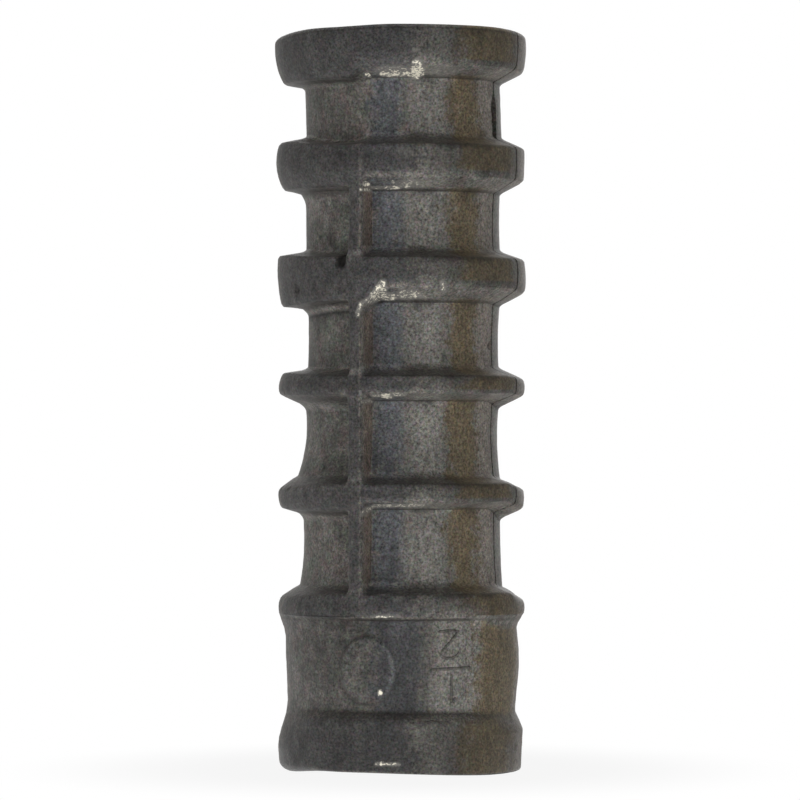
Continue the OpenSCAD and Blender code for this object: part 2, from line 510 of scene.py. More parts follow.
def window_row(z, t, crest_r, floor_r, fin, side, grime, break_at=0.6):
    """One row, where t is the distance from the rib's edge and fin that from the fin's."""
    near_rib, near_fin = 1 - t, 1 - fin
    joined = 1 - np.hypot(near_rib, near_fin)
    by_rib = near_rib / (near_rib + near_fin + 1e-6)
    high = wall_height(joined, mix(FIN_BREAK, break_at, by_rib))
    past_edge = np.where(side < 0, 0.5, 0.12)
    near = side * np.clip(np.minimum(near_rib, 1 + (1 - near_rib) / past_edge), 0, 1)
    fin_grime = FIN_GRIME * soft(0.2, -0.1, joined)
    grime = mix(grime, fin_grime, soft(0.3, -0.3, fin) * soft(0.2, 0.8, t))
    smeared = on_front & (z > SMEAR_FOOT) & (z < SMEAR_TOP)
    wall = soft(0.1, 0.3, joined) * soft(1.0, 0.8, joined) * (1 - by_rib)
    edge = worn_edges_and_highlights(z, fin, joined, by_rib, side)
    foot = dirt_and_shade_at_foot(t, fin, joined, by_rib, side)
    wall = wall * (from_fin > 0) * ~smeared
    add_row(z, mix(floor_r, crest_r, high), high, near, edge, foot, grime, wall)


print(f"at its softened edge a wall has {wall_height(0.0, FIN_BREAK):.0%} of its full height")

# %% [markdown]
# ## Flanks, crests and floors
# Every pocket is the same run of rows: up the flank over a rib, along the floor and up the flank
# under the next rib. Then come the rows of that rib's crest. So two functions and one loop lay
# down the whole stack, and only the heights differ from rib to rib.

# %% Rows over a flank
FLANK_ROWS, FLOOR_ROWS, CREST_ROWS = 12, 14, 9


def lay_flank(pocket, name, rising):
    """Rows over a flank and its fillet, up to the crest or up from it, with the fin let in."""
    rib = RIBS[name]
    root, crest = (0, 1) if rising else (3, 2)
    edge = heights(rib, crest)
    run = np.abs(heights(rib, root) - edge)
    if not rising:
        run = run * mix(1, SHORT_FLANKS.get(name, 1), left_of_fin)
    width = run + (fillet_under(name) if rising else fillet_over)
    crest_r = crest_radius(rib, 0.0 if rising else 1.0)
    floor_r = floor_radius(pocket, 1.0 if rising else 0.0)
    for s in shares(FLANK_ROWS, 0.4)[:-1] if rising else shares(FLANK_ROWS, 0.4):
        t = 1 - s if rising else s
        z = edge - width * t if rising else edge + width * t
        if rising:
            # The fillet under a rib takes the painted light and painted shade of the floor top, over the
            # little painted light of the flank.
            at_root = FLOOR_TOP_LIGHT * floor_light_side + shade_under(name)
            grime = mix(UNDER_LIGHT, at_root, soft(0.6, 1.0, t))
        else:
            # The upper flank is painted lighter, most in front, with one painted darker spot and one
            # lighter spot. Near its edge it takes the crest's painted shade.
            on_flank = FLANK_LIGHT[name] * front_flank * mix(0.6, 1, soft(0.1, 0.5, t))
            on_flank = on_flank + spots(TOP_SPOTS)
            grime = mix(CREST_SHADE - bright_tops, on_flank, soft(0.0, 0.2, t))
            grime = mix(grime, floor_dust_and_shade(pocket, z), soft(0.75, 1.0, t))
        fin = fin_beside(pocket, z)
        window_row(z, t, crest_r, floor_r, fin, -1 if rising else 1, grime, run / width)


print(f"{FLANK_ROWS} rows on each flank")

# %% Rows over a crest and a floor
NO_POCKET = -9


def lay_crest(name, below, above, top, count):
    """Rows over a crest, from its lower edge up to top. below and above name the pockets."""
    rib = RIBS[name]
    low = heights(rib, 1)
    low_w = np.abs(heights(rib, 0) - low) + fillet_under(name)
    high_w = np.abs(heights(rib, 3) - top) + fillet_over
    pockets = below or above, above or below
    for s in np.concatenate([[0.0], shares(count, 0.7)]):
        z = mix(low, top, s)
        from_low = -s * (top - low) / low_w if below else NO_POCKET
        from_high = -(1 - s) * (top - low) / high_w if above else NO_POCKET
        nearer_low = from_low > from_high
        t = np.maximum(from_low, from_high)
        floor_r = np.where(nearer_low, floor_radius(pockets[0], 1.0), floor_radius(pockets[1], 0.0))
        fin = np.where(nearer_low, fin_beside(pockets[0], z), fin_beside(pockets[1], z))
        # The crest is painted darker towards its upper edge, fully on the left and right. Its top takes
        # painted light left of the middle and more painted shade right of it.
        grime = CREST_SHADE * mix(soft(-0.1, 0.45, s), 1, np.maximum(by_left, right_side))
        if above:
            grime = grime + 0.6 * middle_right * soft(0.4, 0.0, top - z)
            grime = grime - bright_tops * soft(0.5, 0.12, top - z)
        window_row(z, t, crest_radius(rib, s), floor_r, fin, np.where(nearer_low, -1, 1), grime)


def lay_floor(pocket, above):
    """Rows along the floor of a pocket, up to the fillet under the rib above."""
    low = heights(RIBS[pocket], 3) + fillet_over
    high = heights(RIBS[above], 0) - fillet_under(above)
    for s in shares(FLOOR_ROWS, 0.3):
        z = mix(low, high, s)
        fin_r = mix(crest_radius(RIBS[pocket], 1.0), crest_radius(RIBS[above], 0.0), s)
        grime = floor_dust_and_shade(pocket, z) + FLOOR_TOP_LIGHT * soft(0.2, 1.0, s) * floor_light_side
        # Painted shade at the top of the floor under the rib above; the floor is also a little darker on
        # the left.
        grime = grime + shade_under(above) * np.exp((z - high) / 0.22) + 0.1 * by_left
        window_row(z, 1.0, fin_r, floor_radius(pocket, s), fin_beside(pocket, z), 0, grime)


print(f"{CREST_ROWS} rows on each crest and {FLOOR_ROWS} on each floor")

# %% [markdown]
# ## The stack
# The slots end a few rows up the flange's upper flank, where the first floor begins. The end
# ring is laid last. Its outer edge is worn round, most on the left.

# %% Lay down the stack
SLOT_END = 7
FLANGE_ROWS, RING_ROWS, ROUND_ROWS = 7, 12, 9
names = list(RIBS)
lay_crest("flange", None, "flange", heights(flange, 2), FLANGE_ROWS)
collar_row = len(rows) + SLOT_END
for pocket, above in zip(names[:-1], names[1:]):
    lay_flank(pocket, pocket, rising=False)
    lay_floor(pocket, above)
    lay_flank(pocket, above, rising=True)
    if above != "ring":
        lay_crest(above, pocket, above, heights(RIBS[above], 2), CREST_ROWS)

worn_left, worn_right = around(seen, -88, 10, 40), around(seen, 90, 10, 40)
round_z = 0.26 + 0.3 * worn_left + 0.2 * worn_right
round_r = 0.3 + 0.75 * worn_left + 0.4 * worn_right
top_z = LENGTH - 0.1 * around(seen, -55, 22, 30)
lay_crest("ring", "rib_4", None, top_z - round_z, RING_ROWS)
for a in np.radians(np.linspace(0, 90, ROUND_ROWS))[1:]:
    z = top_z - round_z * (1 - np.sin(a))
    r = crest_radius(RIBS["ring"], 1.0) - round_r * (1 - np.cos(a))
    # The rounding is painted lighter towards the end face, with a dark line where it starts.
    add_row(z, r, 1, 0.3, foot=0.4 * math.cos(a) ** 8, grime=mix(1.0, -1.2, soft(0.2, 0.7, a)))

Z, R, RELIEF, SIDE, EDGE, FOOT, GRIME_AND_SHADING, WALL = (np.array(column) for column in zip(*rows))
COLLAR_TOP = float(Z[collar_row].mean())
angle_grid = np.broadcast_to(column_angle, Z.shape)
print(f"{len(rows)} rows; the slots start at row {collar_row}, {COLLAR_TOP:.2f} mm up")

# %% [markdown]
# ## Dents and marks
# What happened to this one casting is a short list. A deep notch lies beside the fin on the
# third rib, and gas in the metal left small pits. In other places the grey skin was rubbed off,
# mostly along lower edges, and these rubbed places also carry painted glints; elsewhere dirt has
# stuck. A mark is a place, two half widths in millimetres and an amount: a depth for a dent, a
# strength for the rest. A streak runs from one place to another, such as along the struck edge
# from the rib to the fin.

# %% Dents, stains and dark streaks
Mark = namedtuple("Mark", "turn z half_w half_h amount")
Streak = namedtuple("Streak", "turn z to_turn to_z half amount")
DENTS = [
    Mark(-28.8, 26.2, 0.36, 0.52, 0.4),
    Mark(-58.0, 27.45, 0.2, 0.2, 0.2),
    Mark(-57.5, 24.8, 0.34, 0.3, 0.17),
    Mark(-50.0, 15.6, 0.22, 0.2, 0.14),
    Mark(-36.5, 25.1, 0.2, 0.35, 0.09),
    Mark(65.0, 21.9, 0.2, 0.25, 0.25),
    Mark(150.0, 29.0, 0.3, 0.25, 0.2),
    Mark(-140.0, 12.0, 0.22, 0.3, 0.18),
]
STAINS = [
    Mark(-40.0, 25.0, 0.3, 0.25, 0.5),
    Mark(-56.5, 24.7, 0.45, 0.4, 0.6),
    Mark(-48.0, 27.4, 0.3, 0.3, 0.5),
    Mark(-4.0, 26.9, 0.7, 0.3, 0.3),
    Mark(-31.5, 26.6, 0.4, 0.25, 0.4),
]
DARK_STREAKS = [
    Streak(-15.8, 23.9, -11.8, 24.06, 0.1, 0.7),
    Streak(-24.5, 7.5, -17.5, 7.3, 0.1, 0.5),
]
print(f"{len(DENTS)} dents and {len(STAINS) + len(DARK_STREAKS)} stains")

# %% Rubbed places with painted glints
RUBS_AND_GLINTS = [
    Mark(8.2, 35.72, 0.62, 0.5, 1.3),
    Mark(7.4, 36.1, 0.42, 0.38, 1.1),
    Mark(-18.1, 35.58, 0.2, 0.17, 1.3),
    Mark(-6.6, 35.6, 0.35, 0.14, 0.95),
    Mark(-4.0, 35.75, 1.5, 0.42, 0.68),
    Mark(22.0, 35.78, 1.6, 0.45, 0.5),
    Mark(6.6, 36.75, 0.35, 0.2, 0.55),
    Mark(2.5, 31.62, 0.75, 0.4, 0.42),
    Mark(-17.3, 30.03, 0.19, 0.19, 1.35),
    Mark(-3.9, 30.13, 0.17, 0.12, 1.0),
    Mark(3.2, 29.9, 0.24, 0.15, 0.95),
    Mark(4.0, 30.05, 1.2, 0.35, 0.6),
    Mark(-18.3, 29.75, 0.22, 0.16, 0.8),
    Mark(-9.0, 24.75, 0.46, 0.45, 0.82),
    Mark(-7.2, 24.35, 0.8, 0.32, 0.92),
    Mark(-4.8, 24.22, 0.24, 0.13, 1.15),
    Mark(7.0, 24.42, 0.4, 0.2, 0.9),
    Mark(3.6, 24.45, 1.1, 0.42, 0.72),
    Mark(-7.2, 19.3, 0.5, 0.2, 1.35),
    Mark(-18.0, 19.0, 0.2, 0.22, 0.7),
    Mark(-6.1, 13.78, 0.17, 0.09, 1.0),
    Mark(-9.0, 0.72, 0.4, 0.16, 1.15),
    Mark(-10.1, 4.31, 0.19, 0.21, 1.7),
]
RUBBED_AND_GLINT_STREAKS = [
    Streak(-10.2, 35.6, 11.2, 35.6, 0.17, 1.1),
    Streak(-15.9, 29.84, -0.2, 29.86, 0.12, 0.8),
    Streak(-7.5, 29.85, -1.6, 29.86, 0.14, 1.05),
    Streak(-8.4, 25.0, -13.0, 24.3, 0.3, 1.0),
    Streak(-13.0, 24.3, -18.6, 23.95, 0.24, 0.75),
    Streak(-18.6, 23.95, -20.4, 23.45, 0.22, 0.85),
    Streak(-8.0, 24.28, 13.0, 24.3, 0.14, 0.6),
    Streak(18.7, 25.08, 21.1, 24.55, 0.18, 0.8),
    Streak(-14.8, 19.3, -10.2, 19.32, 0.12, 0.8),
    Streak(-3.8, 19.36, 2.0, 19.38, 0.16, 0.75),
    Streak(-18.9, 13.3, -17.4, 13.6, 0.14, 0.7),
    Streak(-17.4, 13.6, -13.6, 13.74, 0.13, 0.72),
    Streak(-13.6, 13.74, 11.1, 13.78, 0.15, 0.78),
    Streak(-13.5, 8.17, -0.7, 8.18, 0.13, 0.6),
    Streak(-11.1, 8.17, -5.2, 8.18, 0.12, 0.85),
    Streak(-11.4, 0.72, -1.0, 0.7, 0.15, 0.95),
]
print(f"{len(RUBS_AND_GLINTS)} rubbed spots and {len(RUBBED_AND_GLINT_STREAKS)} rubbed streaks")

# %% [markdown]
# ## Marks on the grid
# Each mark is laid on the grid of columns and rows, with its middle at full strength and its
# border fading out. Where two meet, the stronger one counts. The round blank on the collar, a
# plain raised disc, is laid on in the same way, with a line of painted shade round it, darker on
# its left, and a painted highlight inside its right edge.

# %% From marks to amounts
MARK_CORE = 0.35
SLOT_STAIN_W = 0.16


def across_from(turn):
    """Millimetres round the skin from an angle, counted from the camera's direction."""
    return np.radians(apart(angle_grid, VIEW_TURN + turn)) * R


def fading(amount, off):
    return amount * (1 - soft(MARK_CORE, 1.0, off))


def marks(places):
    """The amounts of a list of round marks on the outside."""
    found = np.zeros(Z.shape)
    for mark in places:
        off = np.hypot(across_from(mark.turn) / mark.half_w, (Z - mark.z) / mark.half_h)
        found = np.maximum(found, fading(mark.amount, off))
    return found


def streaks(places):
    """The same for marks that run in a straight line over the skin."""
    found = np.zeros(Z.shape)
    for mark in places:
        across = across_from(mark.turn)
        run, rise = np.radians(mark.to_turn - mark.turn) * R, mark.to_z - mark.z
        along = np.clip((across * run + (Z - mark.z) * rise) / (run**2 + rise**2), 0, 1)
        off = np.hypot(across - along * run, Z - mark.z - along * rise)
        found = np.maximum(found, fading(mark.amount, off / mark.half))
    return found


dented = marks(DENTS)
rubbed_and_glinting = np.maximum(marks(RUBS_AND_GLINTS), streaks(RUBBED_AND_GLINT_STREAKS))
from_slot = R * np.cos(np.radians(apart(angle_grid, column_centre)))
in_seam = bump(from_slot, 0, SLOT_STAIN_W) * (Z > COLLAR_TOP)
FOOT += marks(STAINS) + streaks(DARK_STREAKS) + in_seam * mix(0.3, 0.6, RELIEF > 0.9)
print(f"deepest dent {dented.max():.2f} mm; {(rubbed_and_glinting > 0.5).mean():.1%} of the points are rubbed")

# %% The blank on the collar
COLLAR_SEEN = 7.8
BLANK = Mark(-16.5, 5.42, 1.5, 1.72, 0.1)
across_blank = across_from(BLANK.turn) / BLANK.half_w
from_blank = np.hypot(across_blank, (Z - BLANK.z) / BLANK.half_h)
blank = soft(1.04, 0.94, from_blank)
by_collar = Z < COLLAR_SEEN
# A line of painted shade round the blank, darker on its left; the next line paints a highlight inside
# its right edge.
FOOT += mix(0.7, 0.3, soft(-0.2, 0.7, across_blank)) * bump(from_blank, 1.02, 0.08) * by_collar
GRIME_AND_SHADING -= 1.2 * soft(0.2, 0.8, across_blank) * bump(from_blank, 0.9, 0.08) * by_collar
print(f"the blank is {2 * BLANK.half_w:.1f} mm wide and stands {BLANK.amount:.1f} mm proud")

# %% [markdown]
# ## The skin of the casting
# No surface of a casting is quite even. Slow waves, a finer grain and small chips along the
# edges are pressed into the radii before any face is made. The noise reads each point's own
# place, so it gives the same surface on every run.

# %% Waves, grain and chips
WAVE, GRAIN, CHIP = 0.02, 0.012, 0.16


def surface_noise(scale, seed):
    """Smooth noise from -1 to 1 at every point outside, read at the point's own place."""
    x, y = R * np.sin(np.radians(angle_grid)), -R * np.cos(np.radians(angle_grid))
    points = np.stack([x, y, Z], axis=-1).reshape(-1, 3) * scale + seed
    return np.array([noise.noise(Vector(p)) for p in points]).reshape(Z.shape)


waves, grain = surface_noise(0.45, 11.0), surface_noise(2.6, 37.0)
edges = np.clip(1 - np.abs(RELIEF - 0.93) / 0.09, 0, 1)
chips = edges * np.clip(surface_noise(1.9, 71.0) - 0.12, 0, 1)
R = R - dented + BLANK.amount * blank + WAVE * waves + GRAIN * grain - CHIP * chips
print(f"waves up to {WAVE * np.abs(waves).max():.3f} mm, chips up to {CHIP * chips.max():.2f} mm")

# %% [markdown]
# ## The bore
# The screw enters the collar through a plain bore. Above it, the bore narrows to the inserted
# end and carries a coarse right-hand thread. The rows inside climb with the thread, half a
# pitch in each half shell, so that its edges run along rows and stay clean. Near both ends the
# climb fades out, and the last rows are flat.

# %% Points of the bore
ENTRY_R, MOUTH_R, MOUTH_H, ENTRY_TOP = 3.45, 3.85, 0.4, 6.4
TIP_R, THREAD_R = 2.4, 3.3
PITCH, THREAD_FLAT = 2.54, 0.3
FLANK_SLOPE = math.tan(math.radians(60))
BORE_ROWS, BORE_STEP, CLIMB_FADE = 120, 0.06, 2.0

bore_share = np.concatenate([spaced(-1, 1, lambda a: BORE_STEP)] * 2)
half_count = len(bore_share) // 2
bore_centre = np.repeat([0.0, 180.0], half_count)
bore_angle = bore_centre + bore_share * HALF_SPAN


def thread_radius(angle, z):
    """Radius of the tapered thread at an angle and height."""
    crest = mix(ENTRY_R, TIP_R, (z - COLLAR_TOP) / (LENGTH - COLLAR_TOP))
    turns = (z - COLLAR_TOP) / PITCH - angle / 360
    off = np.abs(turns - np.round(turns)) * PITCH
    groove = THREAD_R - np.clip(off - THREAD_FLAT, 0, None) * FLANK_SLOPE
    return np.maximum(crest, np.minimum(groove, THREAD_R))


bore_z, bore_r = [], []
for z, r in ((0, MOUTH_R), (MOUTH_H, ENTRY_R), (3.4, ENTRY_R), (ENTRY_TOP, ENTRY_R)):
    bore_z.append(z + end_lift(bore_angle) * (1 - z / ENTRY_TOP))
    bore_r.append(r * np.ones(len(bore_angle)))
bore_collar_row = len(bore_z)
for z in np.linspace(COLLAR_TOP, LENGTH, BORE_ROWS):
    fade = soft(0, CLIMB_FADE, z - COLLAR_TOP) * soft(0, CLIMB_FADE, LENGTH - z)
    climbed = z + PITCH * apart(bore_angle, bore_centre) / 360 * fade
    bore_z.append(climbed)
    bore_r.append(thread_radius(bore_angle, climbed))
BORE_Z, BORE_R = np.array(bore_z), np.array(bore_r)
print(f"bore {2 * ENTRY_R:.1f} mm at the collar and {2 * TIP_R:.1f} mm at the tip")

# %% [markdown]
# ## The slots
# Each half shell ends in two flat faces that nearly touch. The first and last column of a half
# shell are therefore not at a fixed angle but at a fixed distance from the split plane. In the
# groove under the end ring the gap is wider, and there one can look into the dark of the bore.

# %% From angles to points
GAP_HALF, GAP_LOW, GAP_HIGH, GAP_SOFT = 0.34, 33.0, 34.3, 0.7
GAP_RAGGED = 0.7


def slot_half(z):
    """Half the width of the slot at each height, with ragged edges where it gapes."""
    open_here = soft(GAP_LOW - GAP_SOFT, GAP_LOW, z) * soft(GAP_HIGH + GAP_SOFT, GAP_HIGH, z)
    ragged = [1 + GAP_RAGGED * noise.noise(Vector((5.0, 2.0, 2.4 * h))) for h in np.ravel(z[:, 0])]
    return mix(SLOT_HALF, GAP_HALF * np.array(ragged)[:, None], open_here)


def points_of(share, centre, z, r):
    """Grid of x, y, z in millimetres. A share of -1 or 1 lies on the face of a slot."""
    span = np.degrees(np.arccos(slot_half(z) / r))
    angle = np.radians(centre + share * span)
    return np.stack([r * np.sin(angle), -r * np.cos(angle), z * np.ones_like(r)], axis=-1)


outside = points_of(column_share, column_centre, Z, R)
inside = points_of(bore_share, bore_centre, BORE_Z, BORE_R)
vertices = np.concatenate([outside.reshape(-1, 3), inside.reshape(-1, 3)]) * MM
print(f"{len(vertices)} points")

# %% [markdown]
# ## Faces
# Inside and outside are plain grids. Where two rows of different counts meet, at the end faces
# and at the slots, a zip joins them: it walks along both rows and always steps on the side that
# lags behind. The result is one closed skin.

# %% Quads over a grid, and a zip between two rows
class Grid:
    """One of the two grids: the number of each point, and where its half shells begin and end."""

    def __init__(self, points, base, half_columns):
        self.rows, self.columns = points.shape[:2]
        self.base = base
        self.first = (0, half_columns)
        self.last = (half_columns - 1, self.columns - 1)
        self.top = self.rows - 1

    def point(self, i, j):
        return self.base + i * self.columns + j % self.columns


faces = []
outer = Grid(outside, 0, len(front_columns))
inner = Grid(inside, outer.rows * outer.columns, half_count)


def weave(grid, bridge_rows):
    """Quads over a grid. Rows below bridge_rows go right round; the rest stop at the slots."""
    for i in range(grid.rows - 1):
        for half in (0, 1):
            for j in range(grid.first[half], grid.last[half] + (1 if i < bridge_rows else 0)):
                above = grid.point(i + 1, j + 1), grid.point(i + 1, j)
                faces.append((grid.point(i, j), grid.point(i, j + 1)) + above)


def zip_rows(ids_a, at_a, ids_b, at_b):
    """Triangles between two rows of points, each with its place along the way."""
    a = b = 0
    while a < len(ids_a) - 1 or b < len(ids_b) - 1:
        step_a = b == len(ids_b) - 1 or (a < len(ids_a) - 1 and at_a[a + 1] <= at_b[b + 1])
        if step_a:
            faces.append((ids_a[a], ids_a[a + 1], ids_b[b]))
            a += 1
        else:
            faces.append((ids_a[a], ids_b[b + 1], ids_b[b]))
            b += 1


weave(outer, collar_row)
weave(inner, bore_collar_row)
print(f"{len(faces)} quads on the two grids")

# %% Close the end faces and the slots
def all_round(grid, angles):
    """The lowest row, once round and back to its start."""
    return [grid.point(0, j) for j in range(grid.columns + 1)], [*angles, angles[0] + 360]


def along_top(grid, half, angles):
    js = range(grid.first[half], grid.last[half] + 1)
    return [grid.point(grid.top, j) for j in js], angles[list(js)]


def up_slot(grid, start, j, z):
    """One column from the collar up to the inserted end."""
    return [grid.point(i, j) for i in range(start, grid.top + 1)], z[start:, j]


zip_rows(*all_round(outer, column_angle), *all_round(inner, bore_angle))
for half in (0, 1):
    zip_rows(*along_top(outer, half, column_angle), *along_top(inner, half, bore_angle))
    for end in ("first", "last"):
        outer_up = up_slot(outer, collar_row, getattr(outer, end)[half], Z)
        inner_up = up_slot(inner, bore_collar_row, getattr(inner, end)[half], BORE_Z)
        zip_rows(*outer_up, *inner_up)
    other = 1 - half
    faces.append((
        outer.point(collar_row, outer.last[half]), outer.point(collar_row, outer.first[other]),
        inner.point(bore_collar_row, inner.first[other]), inner.point(bore_collar_row, inner.last[half]),
    ))

mesh = bpy.data.meshes.new("shield_casting")
mesh.from_pydata(vertices.tolist(), [], faces)
skin = bmesh.new()
skin.from_mesh(mesh)
bmesh.ops.recalc_face_normals(skin, faces=skin.faces)
open_edges = sum(not edge.is_manifold for edge in skin.edges)
volume = skin.calc_volume() / MM**3
skin.to_mesh(mesh)
skin.free()
print(f"{len(mesh.polygons)} faces, {open_edges} open edges, {volume:.0f} mm3")

# %% [markdown]
# ## What the material needs to know
# A shader can't tell a crest from a floor, so the mesh carries the answer with it, as a few
# numbers at each point: the relief, the side of a rib, worn edges with painted highlights, feet
# of walls with dirt and painted shade, grime with painted light and shade, and dents.

# %% Store the shape's own numbers on the points
INNER_RELIEF = 0.1
FULL_DENT = 0.3
SHARP_FROM = 38
stored = {
    "relief": RELIEF, "side": SIDE, "edge": EDGE, "grime": GRIME_AND_SHADING, "wall": WALL, "foot": FOOT,
    "dent": dented / FULL_DENT, "rub_and_glint": rubbed_and_glinting,
}
for name, values in stored.items():
    full = np.full(len(vertices), INNER_RELIEF if name == "relief" else 0.0, dtype=np.float32)
    full[:values.size] = values.reshape(-1)
    mesh.attributes.new(name, "FLOAT", "POINT").data.foreach_set("value", full)
mesh.shade_smooth()
mesh.set_sharp_from_angle(angle=math.radians(SHARP_FROM))
casting = bpy.data.objects.new("shield_casting", mesh)
bpy.context.scene.collection.objects.link(casting)
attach(casting, "root")
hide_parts("shield_body")
print(f"{len(stored)} numbers at each point: {', '.join(stored)}")

# %% [markdown]
# ## Raised figures
# On the collar stand a round blank and the size, a half, cast so that it reads the right way up
# when the shield points down. Each stroke is a short bead of half-round section. It is laid over
# the collar by turning its own flat coordinates, across and up, into an angle and a height.

# %% Beads along strokes
FIGURES_TURN, BEAD_R, BEAD_LIFT = 24.8, 0.1, -0.05
BEAD_SIDES, BEAD_STEP, BEAD_END = 8, 0.12, 0.6
FLAT_TO_TURN = math.degrees(1 / 6.0)
STROKES = {
    "two": [
        (-0.71, 7.36), (-0.2, 7.42), (0.45, 7.38), (0.1, 6.98), (-0.28, 6.6), (-0.55, 6.27),
        (-0.52, 6.12), (-0.28, 6.03), (0.05, 6.02), (0.34, 6.14), (0.5, 6.34), (0.52, 6.5),
    ],
    "bar": [(-1.09, 5.46), (1.2, 5.53)],
    "one": [(0.33, 4.02), (0.05, 3.80), (0.03, 5.25)],
}


def on_collar_skin(turn, z):
    """Radius of the finished collar skin at an angle from the camera's direction and a height."""
    column = int(np.argmin(np.abs(apart(column_angle, VIEW_TURN + turn))))
    return float(np.interp(z, Z[:collar_row, column], R[:collar_row, column]))


def places_along(stroke):
    """Evenly spaced places on a stroke, with all of its own points among them."""
    path = [Vector(p) for p in stroke]
    places = [path[0]]
    for a, b in zip(path[:-1], path[1:]):
        count = max(1, round((b - a).length / BEAD_STEP))
        places += [a.lerp(b, (i + 1) / count) for i in range(count)]
    return places


def bead(stroke):
    """Points and faces of a round bead along a stroke, half sunk in the skin."""
    places, points, quads = places_along(stroke), [], []
    final = len(places) - 1
    for i, place in enumerate(places):
        along = (places[min(i + 1, final)] - places[max(i - 1, 0)]).normalized()
        across = Vector((-along.y, along.x))
        thick = BEAD_R * (BEAD_END if i in (0, final) else 1.0)
        for k in range(BEAD_SIDES):
            a = 2 * math.pi * k / BEAD_SIDES
            flat = place + across * (math.cos(a) * thick)
            turn = FIGURES_TURN + flat.x * FLAT_TO_TURN
            r = on_collar_skin(turn, flat.y) + BEAD_LIFT + math.sin(a) * thick
            angle = math.radians(VIEW_TURN + turn)
            points.append((r * math.sin(angle), -r * math.cos(angle), flat.y))
    for low in range(0, final * BEAD_SIDES, BEAD_SIDES):
        high = low + BEAD_SIDES
        for k in range(BEAD_SIDES):
            n = (k + 1) % BEAD_SIDES
            quads.append((low + k, low + n, high + n, high + k))
    quads.append(tuple(range(BEAD_SIDES)))
    quads.append(tuple(reversed(range(len(points) - BEAD_SIDES, len(points)))))
    return points, quads


print(f"{len(STROKES)} strokes, the longest with {max(map(len, STROKES.values()))} points")

# %% One mesh for the figures
figure_points, figure_faces = [], []
for stroke in STROKES.values():
    points, quads = bead(stroke)
    figure_faces += [tuple(len(figure_points) + i for i in quad) for quad in quads]
    figure_points += points
figures_mesh = bpy.data.meshes.new("size_figures")
figures_mesh.from_pydata([Vector(point) * MM for point in figure_points], [], figure_faces)
# The strokes are darkened through the grime and foot numbers, as painted shade on raised strokes.
for name, value in (("relief", 0.3), ("grime", 0.7), ("foot", 0.25)):
    layer = figures_mesh.attributes.new(name, "FLOAT", "POINT")
    layer.data.foreach_set("value", [value] * len(figure_points))
figures_mesh.shade_smooth()
figures = bpy.data.objects.new("size_figures", figures_mesh)
bpy.context.scene.collection.objects.link(figures)
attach(figures, "root")
print(f"{len(STROKES)} beads, {len(figure_faces)} faces")

# %% [markdown]
# ## Shader maths as plain expressions
# A finish is mostly arithmetic on masks. Wired by hand, that takes a screen full of nodes. The
# small class below wraps one output of a node, so that a plus or a times sign adds the Math node
# for it, and the finish reads as a few lines of sums.

# %% A wire that can be added and multiplied
class Wire:
    def __init__(self, graph, socket):
        self.graph, self.socket = graph, socket

    def math(self, operation, first, second):
        return self.graph.node("ShaderNodeMath", {"operation": operation}, {0: first, 1: second})

    def __add__(self, other):
        return self.math("ADD", self, other)

    def __sub__(self, other):
        return self.math("SUBTRACT", self, other)

    def __rsub__(self, other):
        return self.math("SUBTRACT", other, self)

    def __mul__(self, other):
        return self.math("MULTIPLY", self, other)

    __radd__ = __add__
    __rmul__ = __mul__


print("a wire can be added, subtracted and multiplied, with a number on either side")

# %% A node tree, and colours as they look
class Graph:
    """A node tree and the one method that adds any node to it."""

    def __init__(self, owner):
        owner.use_nodes = True
        self.owner, self.tree = owner, owner.node_tree
        self.tree.nodes.clear()

    def node(self, kind, settings=None, inputs=None, output=0):
        """Settings are set first, then each input gets a number, a colour or a wire."""
        made = self.tree.nodes.new(kind)
        for key, value in (settings or {}).items():
            setattr(made, key, value)
        for key, value in (inputs or {}).items():
            if isinstance(value, Wire):
                self.tree.links.new(value.socket, made.inputs[key])
            else:
                made.inputs[key].default_value = value
        return Wire(self, made.outputs[output]) if made.outputs else made

    def step(self, low, high, value):
        """0 at low, 1 at high, smooth between. low may be the larger."""
        limits = {"Value": value, "From Min": low, "From Max": high}
        return self.node("ShaderNodeMapRange", {"interpolation_type": "SMOOTHSTEP"}, limits)

    def blend(self, under, over, share):
        """The colour over laid on the colour under."""
        return self.node("ShaderNodeMix", {"data_type": "RGBA"}, {0: share, 6: under, 7: over}, 2)

    def between(self, low, high, share):
        """A number between two others."""
        return self.node("ShaderNodeMix", {}, {0: share, 2: low, 3: high})

    def vector(self, operation, *values, output=0):
        """Vector maths, for places and colours."""
        inputs = dict(enumerate(values))
        return self.node("ShaderNodeVectorMath", {"operation": operation}, inputs, output)

    def scaled(self, vector, factor):
        """A colour or a place, made larger or smaller in all three numbers."""
        return self.node("ShaderNodeVectorMath", {"operation": "SCALE"}, {0: vector, "Scale": factor})

    def noise(self, place, scale, detail=3.0, rough=0.55, seed=0.0):
        """Noise about a middle of a half. Scale counts its blotches in a millimetre."""
        moved = self.vector("ADD", place, (seed, seed * 0.7, seed * 1.3))
        sizes = {"Vector": moved, "Scale": scale, "Detail": detail, "Roughness": rough}
        return self.node("ShaderNodeTexNoise", {"noise_dimensions": "3D"}, sizes)

    def attribute(self, name):
        return self.node("ShaderNodeAttribute", {"attribute_name": name}, output=2)


def colour(red, green, blue):
    """A colour as a picture shows it, from 0 to 255, turned into the linear one a shader wants."""
    def linear(v):
        v = v / 255
        return v / 12.92 if v <= 0.04045 else ((v + 0.055) / 1.055) ** 2.4

    return (linear(red), linear(green), linear(blue), 1)


print("a colour of 128 is", round(colour(128, 128, 128)[0], 3), "in linear light")

